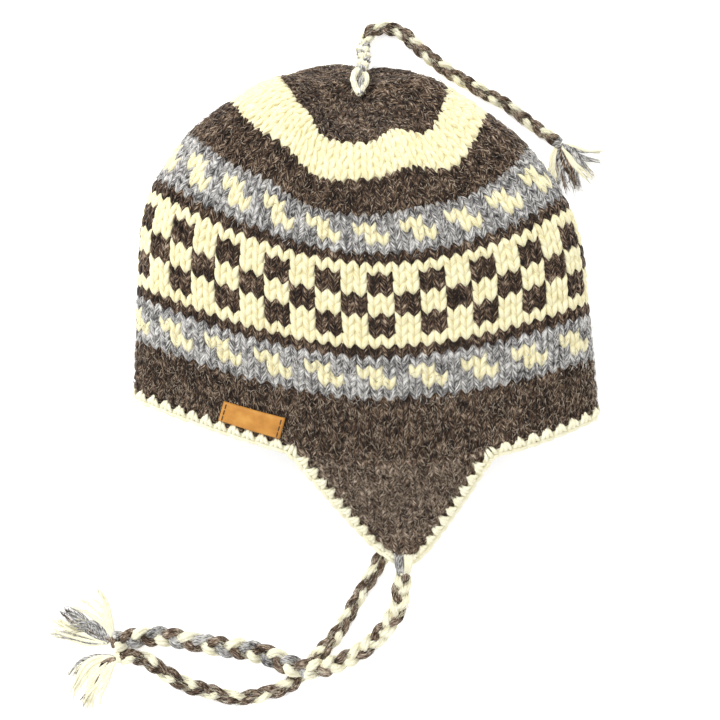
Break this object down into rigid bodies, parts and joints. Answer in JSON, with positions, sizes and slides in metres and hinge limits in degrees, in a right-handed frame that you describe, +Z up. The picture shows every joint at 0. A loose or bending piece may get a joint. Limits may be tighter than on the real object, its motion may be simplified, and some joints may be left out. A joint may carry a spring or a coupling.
{
  "type": "chullo hat",
  "caption": "Hand-knitted wool earflap hat lying on its side, patterned bands, crocheted edge, two braided ties and a braid at the crown, each with a tassel.",
  "frame": {"origin": "centre of the hat's footprint on the surface it lies on, without its ties and tassels", "axes": "+Z up from the surface, +Y towards the crown, +X towards the back of the head"},
  "size_m": [0.3058, 0.3794, 0.084],
  "materials": {
    "brown_wool": "matte",
    "cream_wool": "matte",
    "mixed_wool": "matte",
    "tan_leather": "satin"
  },
  "bodies": {
    "root": {"knit_body": "brown_wool", "earflap_upper": "brown_wool", "earflap_lower": "brown_wool", "crochet_edging": "cream_wool", "leather_label": "tan_leather", "upper_tie": "mixed_wool", "lower_tie": "mixed_wool", "top_braid": "mixed_wool", "upper_tassel": "cream_wool", "lower_tassel": "cream_wool", "top_tassel": "cream_wool"}
  },
  "joints": []
}
